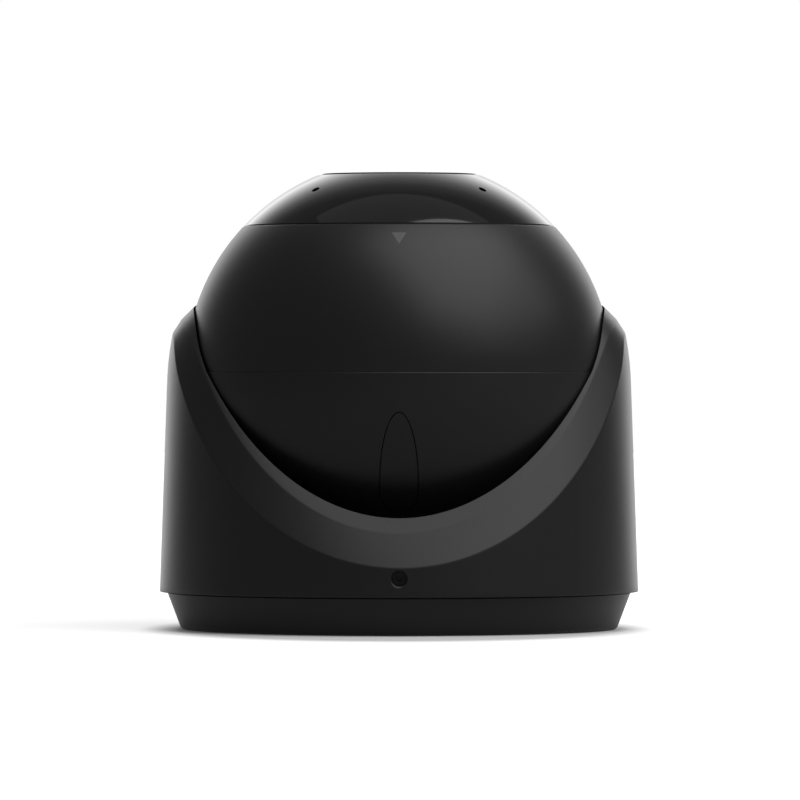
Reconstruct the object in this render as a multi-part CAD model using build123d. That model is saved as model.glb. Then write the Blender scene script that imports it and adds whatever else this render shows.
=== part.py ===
from build123d import *
import os
from math import cos, radians, sin, sqrt, tan

# Turret security camera, in millimetres. The origin is the centre of the wall face, +Z points out of the
# wall and the scooped side of the housing faces -Y. At rest the lens looks along +Z.
# Everything in the ball, its cradle and the housing is drawn about the ball's centre and lifted at the end.

# Ball
BALL_R = 49.0
BALL_LIFT = 10.0
BALL_Z = BALL_R + BALL_LIFT
BALL_WALL = 2.2
COVER_WALL = 2.0
COVER_RISE = 15.5
COVER_SEAM_Z = BALL_R - COVER_RISE
SEAM_CHAMFER = 0.22
CROWN_CUT = 3.5
WINDOW_TOP_Z = BALL_R - CROWN_CUT
WINDOW_T = 1.6
WINDOW_PROUD = 0.35
WINDOW_EDGE = 1.09
WINDOW_R = sqrt(BALL_R ** 2 - (WINDOW_TOP_Z - WINDOW_PROUD) ** 2) - WINDOW_EDGE

# Housing: a drafted cup whose rim is a saddle round the ball
HOUSING_STEP = 6.0
SHELL_R = BALL_R + HOUSING_STEP
SHELL_LOW_Z = 8.6
SHELL_DRAFT = 2.0
SHELL_WALL = 2.3
SHOULDER_Z = -2.1
SHOULDER_SWELL = 13.0
SHOULDER_R = SHELL_R + SHOULDER_SWELL
SOCKET_GAP = 0.42
RIM_WALL = 3.0
RIM_W = 4.95
CREASE_R = SHELL_R - RIM_W
RIM_LAND = 45.0
WELL_DRAFT = 5.0
# Each edge of the rim climbs from its height at the front and levels off round the back. The four values are
# the height at the front, the climb, the height at the back, and how softly the two run together, all above
# the ball's centre and as shares of the ball's radius.
RIM_OUTER = (-0.8918, 1.3204, 0.1939, 0.0959)
RIM_CREASE = (-0.7245, 1.4245, 0.2735, 0.2245)
STEP_ANGLE = 12
LEVEL_ANGLE = 108

# Foot on the wall, with the spigot that the housing turns on
FOOT_LOW_IN = 4.95
FOOT_TOP_IN = 1.8
FOOT_LOW_R = SHELL_R - FOOT_LOW_IN
FOOT_TOP_R = SHELL_R - FOOT_TOP_IN
FOOT_EDGE_R = 1.1
FOOT_GAP = 0.3
FOOT_FLOOR = 3.4
SPIGOT_H = 7.0
SPIGOT_TOP_Z = SHELL_LOW_Z + SPIGOT_H
SPIGOT_WALL = 2.6
SPIGOT_EDGE = 0.8
RIB_T = 2.0
RIB_TOP = 6.7
SNAP_T = 1.1
SNAP_BITE = 1.0
SEAL_W = 1.6
SEAL_DEPTH = 0.7
REGISTER_IN = 4.0
REGISTER_R = SHELL_R - REGISTER_IN
SPIGOT_HEADROOM = 1.8
REGISTER_TOP_Z = SPIGOT_TOP_Z + SPIGOT_HEADROOM
PAN_GAP = 0.3
WALL_SCREW_IN = 13.0
WALL_SCREW_PCD = 2 * (REGISTER_R - WALL_SCREW_IN)
WALL_SCREW_R = 2.3
WALL_SCREW_COUNT = 4
GASKET_W = 5.5
GASKET_IN = 2.05
GASKET_OUT_R = FOOT_LOW_R - GASKET_IN
GASKET_IN_R = GASKET_OUT_R - GASKET_W
GASKET_T = 1.2
ENTRY_R = 10.0
CABLE_R = 3.25
GROMMET_LIP = 1.8

# Lock screw at the front of the housing
LOCK_RISE = 4.3
LOCK_Z = SHELL_LOW_Z + LOCK_RISE
LOCK_R = 1.5
LOCK_MOUTH_R = 1.75
LOCK_RECESS = 2.0
LOCK_TIP_GAP = 0.75
LOCK_HEX = 1.5
LOCK_GROOVE_W = 3.0
LOCK_GROOVE_D = 1.2
SHAFT_GAP = 0.06

# Cradle that tilts in the housing and lets the ball roll
CRADLE_GAP = 0.35
CRADLE_T = 1.2
ARM_W = 12.0
PIVOT_R = 4.0
PIVOT_SKIN = 0.81
HUB_R = 17.6
HUB_GAP = 0.4
HUB_T = 2.4
HUB_RIM_W = 3.1
HUB_DEPTH = 6.7
HUB_TOP_Z = HUB_DEPTH - BALL_R
WASHER_T = 0.8
WASHER_OUT_R = 12.0
NECK_R = 8.0
NECK_BORE_R = 5.0
NECK_LENGTH = 7.3
NUT_R = 11.0
NUT_T = 3.0

# Service cover, a tongue-shaped rubber plug low on the front of the ball
TONGUE_TILT = 23.0
TONGUE_HALF_W = 4.2
TONGUE_TOP = 16.2
TONGUE_SIDE = 3.7
TONGUE_END = 4.4
TONGUE_UP = 10.4
TONGUE_DEPTH = 3.2
TONGUE_GAP = 0.25
BUTTON_R = 1.1
BUTTON_GAP = 0.15
BUTTON_TRAVEL = 0.4

# Joints between the ball's shells and the gloss cover
LIP_T = 1.5
LIP_H = 2.2
SHELL_SEAL_H = 1.1
SEAL_GROOVE_D = 0.9
LEDGE_W = 5.07
LEDGE_T = 1.8
SKIRT_H = 1.6
SKIRT_WALL = 1.4
COVER_SEAL_T = 0.6
COVER_SCREW_IN = 2.77
WINDOW_LEDGE_T = 1.8
WINDOW_LEDGE_W = 2.3
SEAT_GAP = 0.4

# Inside the ball
SCREW_RING_R = 14.5
TIE_SCREW_R = 1.5
TIE_BOSS_R = 3.2
TIE_STEP_R = 4.3
CHASSIS_IN = 4.6
CHASSIS_R = BALL_R - CHASSIS_IN
CHASSIS_T = 2.5
CHASSIS_TOP_Z = 0.5
CHASSIS_SCREW_IN = 4.4
CHASSIS_SCREW_RING = CHASSIS_R - CHASSIS_SCREW_IN
CHASSIS_SCREW_R = 1.3
CHASSIS_RIB_START = 17.5
CHASSIS_RIB_GAP = 0.9
CHASSIS_RIB_T = 1.6
BOARD_T = 1.6
MAIN_BOARD_Z = -13.6
POWER_BOARD_R = 30.0
POWER_BOARD_Z = -27.0
CHIP_T = 1.5
HEAT_PAD_T = 1.0
RESET_BOARD_W = 9.0
RESET_BOARD_H = 14.0
RESET_BOARD_T = 1.0
RESET_BOARD_GAP = 0.6
PROCESSOR_W = 14.0
TRANSFORMER_W = 16.0
TRANSFORMER_D = 13.0
CAPACITOR_R = 3.0
CAPACITOR_H = 9.0
BRACKET_DROP = 25.5
BRACKET_Z = WINDOW_TOP_Z - BRACKET_DROP
BRACKET_T = 2.0
BRACKET_GAP = 4.31
BRACKET_R = sqrt((BALL_R - BALL_WALL) ** 2 - (BRACKET_Z + BRACKET_T) ** 2) - BRACKET_GAP
BRACKET_POST_R = 2.6
BRACKET_POST_IN = 7.0
BRACKET_POST_RING = BRACKET_R - BRACKET_POST_IN
CABLE_IN = 4.0
CABLE_RISE_Y = BRACKET_R - CABLE_IN
CABLE_W = 12.0
CABLE_T = 0.4
CONNECTOR_IN = 6.2
CONNECTOR_Y = CABLE_RISE_Y - CONNECTOR_IN
CONNECTOR_T = 2.5
SENSOR_BOARD_W = 24.0
SENSOR_SCREW_RING = 13.5
SENSOR_SCREW_R = 1.0
LED_BOARD_DROP = 11.5
LED_BOARD_Z = WINDOW_TOP_Z - LED_BOARD_DROP
LED_BOARD_T = 1.2
LED_BOARD_GAP = 5.17
LED_RING_OUT = 0.55
LED_RING_R = WINDOW_R + LED_RING_OUT
LED_CUP_R = 4.6
LED_POST_RING = 12.4
LED_POST_R = 1.8
LED_PEG_R = 0.9
LENS_R = 5.9
LENS_HEAD_R = 7.4
LENS_DROP = 2.5
LENS_TOP_Z = WINDOW_TOP_Z - LENS_DROP
HOLDER_W = 15.6
HOLDER_WALL = 1.8
HOLDER_FOOT_H = 5.0
HOLDER_TUBE_H = 8.0
MIC_POLAR = 32.0
MIC_AZIMUTH = 47.0
MIC_HOLE_R = 0.95
MIC_R = 2.0

SMALL = 0.1
DEEP = 200.0
NODES = {}


def node(name, *shapes, on_ball=True):
    """Keep one node: its solids, lifted to the ball's centre where they were drawn about it."""
    lift = Pos(0, 0, BALL_Z if on_ball else 0)
    NODES[name] = [lift * solid for shape in shapes for solid in shape.solids()]


def disc(radius, low, high, bore=0.0, x=0.0, y=0.0):
    """A round plate or tube standing on Z between two heights."""
    body = Cylinder(radius, high - low, align=(Align.CENTER, Align.CENTER, Align.MIN))
    if bore:
        body -= Cylinder(bore, high - low, align=(Align.CENTER, Align.CENTER, Align.MIN))
    return Pos(x, y, low) * body


def block(wide, deep, low, high, x=0.0, y=0.0):
    """A block between two heights."""
    return Pos(x, y, low) * Box(wide, deep, high - low, align=(Align.CENTER, Align.CENTER, Align.MIN))


def turned(*points):
    """A solid turned about Z from straight runs between (radius, height) points."""
    outline = Polyline(*[(r, 0, z) for r, z in points], close=True)
    return revolve(make_face(outline), Axis.Z)


def round_cap(radius, low, high=DEEP):
    """The part of a ball between two heights."""
    return Sphere(radius) & block(DEEP, DEEP, low, min(high, DEEP))


def ring_of(count, radius, start=0.0):
    """Centres spaced evenly on a circle."""
    turns = [radians(start + 360 * i / count) for i in range(count)]
    return [(radius * cos(t), radius * sin(t)) for t in turns]


def drilled(body, spots, radius, low=-DEEP, high=DEEP):
    """A body with one hole at each spot."""
    for x, y in spots:
        body -= disc(radius, low, high, x=x, y=y)
    return body


def chord(radius, height):
    """Radius of a ball's section at a height."""
    return sqrt(radius ** 2 - height ** 2)


# Housing

SHELL_LOW = SHELL_LOW_Z - BALL_Z
SHOULDER_START_R = SHELL_R - (SHOULDER_Z - SHELL_LOW) * tan(radians(SHELL_DRAFT))
SHOULDER_IN = SHOULDER_START_R - SHOULDER_R * cos(radians(SHELL_DRAFT))
SHOULDER_DOWN = SHOULDER_Z - SHOULDER_R * sin(radians(SHELL_DRAFT))
SOCKET_R = BALL_R + SOCKET_GAP
CRADLE_IN_R = BALL_R + CRADLE_GAP
CRADLE_OUT_R = CRADLE_IN_R + CRADLE_T
CAVITY_R = CRADLE_OUT_R + CRADLE_GAP + 0.05
RIM_TOP = BALL_R * RIM_CREASE[2] + 6.0


def shell_radius(height):
    """Outer radius of the housing at a height: a drafted wall, then the round shoulder."""
    if height < SHOULDER_Z:
        return SHELL_R - (height - SHELL_LOW) * tan(radians(SHELL_DRAFT))
    return SHOULDER_IN + sqrt(SHOULDER_R ** 2 - (height - SHOULDER_DOWN) ** 2)


def rim_height(azimuth, edge):
    """Height of one edge of the rim at an azimuth from the front."""
    low, climb, top, blend = edge
    rise = low + climb * (1 - cos(radians(azimuth)))
    return BALL_R * (rise + top - sqrt((rise - top) ** 2 + blend ** 2)) / 2


def upright(azimuth, profile):
    """A face through (radius, height) points that stands on the Z axis at an azimuth from the front."""
    turn = radians(azimuth)
    points = [(r * sin(turn), -r * cos(turn), z) for r, z in profile]
    return make_face(Polyline(*points, close=True))


def rim_section(azimuth, drop):
    """What is cut away above the rim at one azimuth: a wide bevel, then a land that climbs to the ball."""
    outer, crease = rim_height(azimuth, RIM_OUTER), rim_height(azimuth, RIM_CREASE)
    far, near, high = SHELL_R + 8.0, SOCKET_R - 6.0, RIM_TOP + 20.0
    edge_r = shell_radius(outer)
    fall = (far - edge_r) * (crease - outer) / (edge_r - CREASE_R)
    climb = (CREASE_R - near) * tan(radians(RIM_LAND))
    profile = [
        (far, outer - fall - drop),
        (CREASE_R, crease - drop),
        (near, crease + climb - drop),
        (near, high),
        (far, high),
    ]
    return upright(azimuth, profile)


def below_rim(body, drop=0.0):
    """What is left of a body under the saddle: lofted round the front, and turned round the level back.

    The loft runs on past the level part and is trimmed there, so that its loose ends don't show.
    """
    reach = LEVEL_ANGLE + 2 * STEP_ANGLE
    level = 360 - 2 * LEVEL_ANGLE
    front = loft([rim_section(turn, drop) for turn in range(-reach, reach + 1, STEP_ANGLE)])
    behind = [(0, -DEEP), (DEEP, -DEEP), (DEEP, DEEP), (0, DEEP)]
    front -= revolve(upright(LEVEL_ANGLE, behind), Axis.Z, level)
    back = revolve(rim_section(LEVEL_ANGLE, drop), Axis.Z, level)
    return body - front - back


def outer_cup():
    """The cup before its rim is cut, with the chamfered lower edge."""
    edge = 0.35
    mid = (SHOULDER_Z + RIM_TOP) / 2
    line = Polyline(
        (0, 0, RIM_TOP),
        (0, 0, SHELL_LOW),
        (SHELL_R - edge, 0, SHELL_LOW),
        (SHELL_R, 0, SHELL_LOW + edge),
        (SHOULDER_START_R, 0, SHOULDER_Z),
    )
    shoulder = ThreePointArc(
        (SHOULDER_START_R, 0, SHOULDER_Z), (shell_radius(mid), 0, mid), (shell_radius(RIM_TOP), 0, RIM_TOP)
    )
    lid = Line((shell_radius(RIM_TOP), 0, RIM_TOP), (0, 0, RIM_TOP))
    return revolve(make_face(line + shoulder + lid), Axis.Z)


def hollow():
    """The inside of the cup: register band, drafted wall, and the round space that the cradle sweeps."""
    band_top = REGISTER_TOP_Z - BALL_Z
    wall_low = shell_radius(band_top) - SHELL_WALL
    lower = turned(
        (0, SHELL_LOW - 1),
        (REGISTER_R, SHELL_LOW - 1),
        (REGISTER_R, band_top),
        (wall_low, band_top),
        (CAVITY_R, 0),
        (0, 0),
    )
    return lower + round_cap(CAVITY_R, 0)


LOCK_DROP = LOCK_Z - BALL_Z
LOCK_WALL_R = shell_radius(LOCK_DROP)
LOCK_HEAD = LOCK_WALL_R - LOCK_RECESS
PIN_END = shell_radius(0) - PIVOT_SKIN
SPIGOT_R = REGISTER_R - PAN_GAP
LOCK_TIP = SPIGOT_R - LOCK_GROOVE_D + LOCK_TIP_GAP


def well():
    """The drafted space round the lower half of the ball, which the rim looks down into."""
    foot_r = SOCKET_R + SHELL_LOW * tan(radians(WELL_DRAFT))
    return turned((0, SHELL_LOW), (foot_r, SHELL_LOW), (SOCKET_R, 0), (0, 0))


def turret_shell():
    shell = below_rim(outer_cup()) - below_rim(hollow(), RIM_WALL) - Sphere(SOCKET_R) - well()
    for side in (1, -1):
        socket = disc(PIVOT_R + SHAFT_GAP, CAVITY_R - 2, PIN_END + 0.15)
        shell -= Rot(0, 90 * side, 0) * socket
    shell -= lock_hole()
    low, high = snap_levels()
    groove = disc(REGISTER_R + SNAP_BITE, low - PAN_GAP, high + PAN_GAP, bore=REGISTER_R - 1.0)
    return shell - Pos(0, 0, -BALL_Z) * groove


def radial_front(radius, start, end, height):
    """A round bar on the front radius between two distances from the Z axis."""
    bar = Cylinder(radius, end - start, align=(Align.CENTER, Align.CENTER, Align.MIN))
    return Pos(0, -start, height) * Rot(90, 0, 0) * bar


def lock_hole():
    through = radial_front(LOCK_R + SHAFT_GAP, REGISTER_R - 2, LOCK_HEAD + SMALL, LOCK_DROP)
    return through + radial_front(LOCK_MOUTH_R, LOCK_HEAD, LOCK_WALL_R + 1, LOCK_DROP)


def lock_screw():
    """A headless screw with a hexagon socket and a cone point that runs in the spigot's groove."""
    shoulder = LOCK_TIP + 1.0
    body = radial_front(LOCK_R, shoulder, LOCK_HEAD, LOCK_DROP)
    point = Cone(LOCK_R * 0.3, LOCK_R, shoulder - LOCK_TIP, align=(Align.CENTER, Align.CENTER, Align.MIN))
    body += Pos(0, -LOCK_TIP, LOCK_DROP) * Rot(90, 0, 0) * point
    socket = extrude(RegularPolygon(LOCK_HEX / 2, 6, major_radius=False), 1.6)
    return body - Pos(0, -LOCK_HEAD, LOCK_DROP) * Rot(-90, 0, 0) * socket


# Foot

DECK_Z = SHELL_LOW_Z - FOOT_GAP
SEAL_LOW = DECK_Z - SEAL_DEPTH


def snap_levels():
    """Heights of the snap ring, which keeps the housing on the spigot and lets it turn."""
    low = SHELL_LOW_Z + 0.9
    return low, low + SNAP_T


def mounting_foot():
    """A tapered dish with ribs, screw seats and the cable hole, and the spigot that the housing turns on."""
    well_r = SPIGOT_R - SPIGOT_WALL
    dish = turned((0, 0), (FOOT_LOW_R, 0), (FOOT_TOP_R, DECK_Z), (0, DECK_Z))
    dish = fillet(dish.edges().sort_by(Axis.Z)[0], FOOT_EDGE_R)
    spigot = turned(
        (0, DECK_Z - 1),
        (SPIGOT_R, DECK_Z - 1),
        (SPIGOT_R, SPIGOT_TOP_Z - SPIGOT_EDGE),
        (SPIGOT_R - SPIGOT_EDGE, SPIGOT_TOP_Z),
        (0, SPIGOT_TOP_Z),
    )
    foot = dish + spigot - disc(well_r, FOOT_FLOOR, SPIGOT_TOP_Z + 1)
    for turn in range(0, 180, 45):
        foot += Rot(0, 0, turn + 22.5) * block(2 * well_r + 1, RIB_T, FOOT_FLOOR - 1, RIB_TOP)
    foot += disc(ENTRY_R + 4.0, FOOT_FLOOR - 1, RIB_TOP)
    foot -= disc(ENTRY_R, -1, RIB_TOP + 1)
    for x, y in ring_of(WALL_SCREW_COUNT, WALL_SCREW_PCD / 2, 45):
        foot += disc(WALL_SCREW_R + 2.6, FOOT_FLOOR - 1, FOOT_FLOOR + 1.6, x=x, y=y)
        foot -= disc(WALL_SCREW_R, -1, FOOT_FLOOR + 3, x=x, y=y)
    foot -= disc(GASKET_OUT_R, -1, GASKET_T, bore=GASKET_IN_R)
    foot -= turned(
        (SPIGOT_R + SMALL, LOCK_Z - LOCK_GROOVE_W / 2),
        (SPIGOT_R + SMALL, LOCK_Z + LOCK_GROOVE_W / 2),
        (SPIGOT_R - LOCK_GROOVE_D, LOCK_Z),
    )
    low, high = snap_levels()
    foot -= disc(SPIGOT_R + 1, low, high, bore=SPIGOT_R - SNAP_BITE)
    return foot - disc(SPIGOT_R + SEAL_W, SEAL_LOW, DECK_Z + 0.01, bore=SPIGOT_R)


def snap_ring():
    """A split ring that sits in the spigot's groove and stands out into the housing's."""
    low, high = snap_levels()
    ring = disc(REGISTER_R + SNAP_BITE - PAN_GAP, low, high, bore=SPIGOT_R - SNAP_BITE)
    return ring - block(4 * SNAP_BITE + 4, 6.0, low - 1, high + 1, x=SPIGOT_R)


def cable_grommet():
    """A rubber bush clipped round the edge of the cable hole."""
    sleeve = disc(ENTRY_R, 0.6, RIB_TOP + GROMMET_LIP)
    lip = disc(ENTRY_R + GROMMET_LIP, RIB_TOP, RIB_TOP + GROMMET_LIP)
    return sleeve + lip - disc(CABLE_R, 0, RIB_TOP + GROMMET_LIP + 1)


node("mounting_foot", mounting_foot(), on_ball=False)
node("wall_gasket", disc(GASKET_OUT_R, 0, GASKET_T, bore=GASKET_IN_R), on_ball=False)
node("cable_grommet", cable_grommet(), on_ball=False)
node("snap_ring", snap_ring(), on_ball=False)
node("foot_seal", disc(SPIGOT_R + SEAL_W - 0.05, SEAL_LOW, DECK_Z + 0.2, bore=SPIGOT_R), on_ball=False)
node("turret_shell", turret_shell())
node("lock_screw", lock_screw())


# Cradle

RECESS_TOP = HUB_TOP_Z + WASHER_T


def along_x(radius, start, end):
    """A round bar on the tilt axis between two distances, one on each side."""
    bar = Cylinder(radius, end - start, align=(Align.CENTER, Align.CENTER, Align.MIN))
    return [Pos(side * start, 0, 0) * Rot(0, 90 * side, 0) * bar for side in (1, -1)]


def tilt_cradle():
    """Two thin arms pressed to the ball's curve, joined by a dished hub under the ball."""
    skin = Sphere(CRADLE_OUT_R) - Sphere(CRADLE_IN_R)
    arms = block(DEEP, ARM_W, -DEEP, 0)
    for end in along_x(ARM_W / 2, BALL_R - 5, BALL_R + 5):
        arms += end
    arms = skin & (arms - disc(HUB_R - 1, -DEEP, 0))
    plate_low = HUB_TOP_Z - HUB_T
    hub = disc(HUB_R, -DEEP, HUB_TOP_Z) & Sphere(CRADLE_OUT_R)
    hub -= disc(HUB_R - HUB_RIM_W, -DEEP, plate_low)
    cradle = arms + hub - disc(NECK_R + SHAFT_GAP, -DEEP, 0)
    for hole in along_x(PIVOT_R, BALL_R - 5, BALL_R + 5):
        cradle -= hole
    return cradle


def neck_nut():
    """A round nut with four spanner slots on the ball's neck."""
    top = HUB_TOP_Z - HUB_T - WASHER_T
    nut = disc(NUT_R, top - NUT_T, top, bore=NECK_R)
    slot = block(3 * NUT_R, 2.4, top - NUT_T - 1, top - 1.6) - disc(NECK_R + 1.2, -DEEP, 0)
    for turn in (0, 90):
        nut -= Rot(0, 0, turn) * slot
    return nut


node("tilt_cradle", tilt_cradle())
node("pivot_pins", *along_x(PIVOT_R, CRADLE_IN_R + 0.05, PIN_END))
node("roll_washer", disc(WASHER_OUT_R, HUB_TOP_Z, RECESS_TOP, bore=NECK_R + HUB_GAP))
node("nut_washer", disc(NUT_R, HUB_TOP_Z - HUB_T - WASHER_T, HUB_TOP_Z - HUB_T, bore=NECK_R))
node("neck_nut", neck_nut())


# Ball shells

BALL_IN_R = BALL_R - BALL_WALL
LIP_R = BALL_IN_R - HUB_GAP
CHASSIS_LOW = CHASSIS_TOP_Z - CHASSIS_T
SCREW_SPOTS = ring_of(3, SCREW_RING_R, 90)
CHASSIS_SPOTS = ring_of(4, CHASSIS_SCREW_RING, 45)
SKIRT_LOW = COVER_SEAM_Z - SKIRT_H
SKIRT_R = chord(BALL_R - COVER_WALL, COVER_SEAM_Z) - SEAT_GAP
COVER_SPOTS = ring_of(3, SKIRT_R - COVER_SCREW_IN, 90)
LEDGE_TOP = SKIRT_LOW - COVER_SEAL_T
TIE_SEAT = RECESS_TOP + 2.0
RECESS_R = HUB_R + HUB_GAP
FLOOR_TOP = RECESS_TOP + 3.0
TONGUE_PLANE_R = BALL_R - TONGUE_DEPTH


def tongue_plane(distance):
    """The plane square to the service cover's direction at a distance from the ball's centre."""
    tilt = radians(TONGUE_TILT)
    out = (0, -cos(tilt), -sin(tilt))
    return Plane(origin=tuple(distance * c for c in out), x_dir=(1, 0, 0), z_dir=out)


def tongue(grow, start, end):
    """The tongue outline pushed out between two distances: long half ellipse, straight sides, round end."""
    half, top, low = TONGUE_HALF_W + grow, TONGUE_TOP + grow, TONGUE_END + grow
    spring = TONGUE_UP - TONGUE_TOP
    base = spring - TONGUE_SIDE
    line = EllipticalCenterArc((0, spring), half, top, 0, arc_size=180)
    line += Line((-half, spring), (-half, base))
    line += EllipticalCenterArc((0, base), half, low, 180, arc_size=180)
    line += Line((half, base), (half, spring))
    return extrude(tongue_plane(start) * make_face(line), end - start)


def at_button(shape, distance):
    """A shape that stands on +Z, moved onto the button's axis at a distance from the ball's centre."""
    return tongue_plane(distance).location * shape


def rear_ball_shell():
    shell = round_cap(BALL_R, -DEEP, 0) - round_cap(BALL_IN_R, FLOOR_TOP, 1)
    shell += disc(LIP_R, -3.0, LIP_H, bore=LIP_R - LIP_T)
    shell += disc(BALL_IN_R + SMALL, -3.0, -1.0, bore=LIP_R - LIP_T) & Sphere(BALL_R - 1)
    groove_z = LIP_H / 2
    half = SHELL_SEAL_H / 2 + 0.05
    shell -= disc(LIP_R + 1, groove_z - half, groove_z + half, bore=LIP_R - SEAL_GROOVE_D)
    pad = tongue(2.0, TONGUE_PLANE_R - 2.2, BALL_R) & Sphere(BALL_R - SMALL)
    shell += pad
    shell -= disc(RECESS_R, -DEEP, RECESS_TOP)
    shell += disc(NECK_R, RECESS_TOP - NECK_LENGTH, FLOOR_TOP)
    for x, y in SCREW_SPOTS:
        shell += disc(TIE_STEP_R, RECESS_TOP + 0.5, POWER_BOARD_Z, x=x, y=y)
        shell += disc(TIE_BOSS_R, POWER_BOARD_Z - 1, CHASSIS_LOW, x=x, y=y)
        shell -= disc(TIE_SCREW_R + 0.2, -DEEP, CHASSIS_LOW + 1, x=x, y=y)
        shell -= disc(TIE_SCREW_R * 2, RECESS_TOP - 1, TIE_SEAT, x=x, y=y)
    shell -= disc(NECK_BORE_R, -DEEP, FLOOR_TOP + 1)
    shell -= tongue(TONGUE_GAP, TONGUE_PLANE_R, BALL_R + 5)
    shell -= at_button(disc(BUTTON_R + BUTTON_GAP, -8, 8), TONGUE_PLANE_R)
    rim = turned(
        (BALL_R + 1, 1),
        (BALL_R + 1, -SEAM_CHAMFER - 1),
        (BALL_R - SEAM_CHAMFER, 0),
        (BALL_R - SEAM_CHAMFER, 1),
    )
    return shell - rim


def front_ball_shell():
    shell = round_cap(BALL_R, 0, COVER_SEAM_Z) - Sphere(BALL_IN_R)
    seat_r = chord(BALL_R, COVER_SEAM_Z)
    ledge_low = LEDGE_TOP - LEDGE_T
    shell += disc(DEEP / 2, ledge_low, LEDGE_TOP, bore=SKIRT_R - LEDGE_W) & Sphere(BALL_R - 1)
    for x, y in COVER_SPOTS:
        shell += disc(3.0, ledge_low, LEDGE_TOP, x=x, y=y)
        shell -= disc(1.2, ledge_low - 5, LEDGE_TOP + 1, x=x, y=y)
    for x, y in CHASSIS_SPOTS:
        boss = disc(3.2, CHASSIS_TOP_Z, CHASSIS_TOP_Z + 8, x=x, y=y)
        turn = 45 if x * y > 0 else -45
        web = Rot(0, 0, turn) * block(2 * BALL_IN_R, 2.4, CHASSIS_TOP_Z + LIP_H, CHASSIS_TOP_Z + 8)
        web -= disc(CHASSIS_SCREW_RING, -DEEP, DEEP)
        shell += (boss + web) & Sphere(BALL_R - 1)
    shell = drilled(shell, CHASSIS_SPOTS, CHASSIS_SCREW_R, CHASSIS_TOP_Z - 1, CHASSIS_TOP_Z + 7)
    return shell - turned(
        (seat_r + 1, COVER_SEAM_Z + SMALL), (seat_r - SEAM_CHAMFER, COVER_SEAM_Z + SMALL),
        (seat_r - SEAM_CHAMFER, COVER_SEAM_Z), (seat_r + 1, COVER_SEAM_Z - SEAM_CHAMFER)
    )


def shell_seal():
    """A square rubber ring in the lip's groove, which the front shell presses on."""
    low = (LIP_H - SHELL_SEAL_H) / 2
    return disc(LIP_R + HUB_GAP - 0.1, low, low + SHELL_SEAL_H, bore=LIP_R - SEAL_GROOVE_D)


def service_cover():
    plug = tongue(0, TONGUE_PLANE_R, BALL_R + 5) & Sphere(BALL_R)
    well = at_button(disc(BUTTON_R + 0.9, 0, 1.2), TONGUE_PLANE_R)
    return plug - well


def reset_button():
    """A stepped pin: its tip stands in the cover's well, its flange bears on the switch."""
    tip = disc(BUTTON_R, -3.4, 0.6)
    flange = disc(BUTTON_R + 0.9, -3.4, -2.4)
    return at_button(tip + flange, TONGUE_PLANE_R)


SWITCH_TOP = -3.4 - BUTTON_TRAVEL
SWITCH_BASE = SWITCH_TOP - 2.0


def reset_board():
    board = block(RESET_BOARD_W, RESET_BOARD_H, SWITCH_BASE - RESET_BOARD_T, SWITCH_BASE)
    for side in (1, -1):
        board += disc(1.6, SWITCH_BASE - 0.5, -2.2, y=side * 5.2)
    return at_button(board, TONGUE_PLANE_R)


node("rear_ball_shell", rear_ball_shell())
node("front_ball_shell", front_ball_shell())
node("shell_seal", shell_seal())
node("service_cover", service_cover())
node("reset_button", reset_button())
node("reset_switch", at_button(block(4.0, 4.0, SWITCH_BASE, SWITCH_TOP), TONGUE_PLANE_R))
node("reset_board", reset_board())


def cap_screw(shank_r, head_r, head_t, head_z, length, x, y, up=True):
    """A cylinder-head screw whose head rests at a height and whose shank points up or down."""
    way = 1 if up else -1
    head = disc(head_r, *sorted((head_z - way * head_t, head_z)), x=x, y=y)
    shank = disc(shank_r, *sorted((head_z, head_z + way * length)), x=x, y=y)
    socket = disc(shank_r * 0.7, *sorted((head_z - way * head_t, head_z - way * head_t * 0.4)), x=x, y=y)
    return head + shank - socket


def tie_screws():
    length = CHASSIS_LOW + 5.0 - TIE_SEAT
    return [cap_screw(TIE_SCREW_R, TIE_SCREW_R * 1.8, 1.8, TIE_SEAT, length, x, y) for x, y in SCREW_SPOTS]


def neck_gland():
    """A rubber plug that seals the cable in the neck."""
    low = RECESS_TOP - NECK_LENGTH + 1.0
    plug = disc(NECK_BORE_R, low, FLOOR_TOP) + disc(NECK_BORE_R + 2, FLOOR_TOP, FLOOR_TOP + 1.5)
    return plug - disc(CABLE_R - 0.5, low - 1, FLOOR_TOP + 2)


node("tie_screws", *tie_screws())
node("neck_gland", neck_gland())


# Boards and chassis in the ball

# The main board stops short of the slanting reset board.
RESET_BACK_R = TONGUE_PLANE_R + SWITCH_BASE - RESET_BOARD_T
RESET_TILT = radians(TONGUE_TILT)
MAIN_BOARD_R = (RESET_BACK_R + MAIN_BOARD_Z * sin(RESET_TILT)) / cos(RESET_TILT) - RESET_BOARD_GAP
CHIP_TOP = MAIN_BOARD_Z + BOARD_T + CHIP_T
CHIP_Y = -2.0
HEAT_PAD_TOP = CHIP_TOP + HEAT_PAD_T
PART_BASE = POWER_BOARD_Z + BOARD_T
CONNECTOR_BASE = MAIN_BOARD_Z + BOARD_T
POST_SPOTS = ring_of(3, BRACKET_POST_RING, 30)
SENSOR_SPOTS = ring_of(4, SENSOR_SCREW_RING, 45)
LED_POST_SPOTS = ring_of(3, LED_POST_RING, -30)


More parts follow.
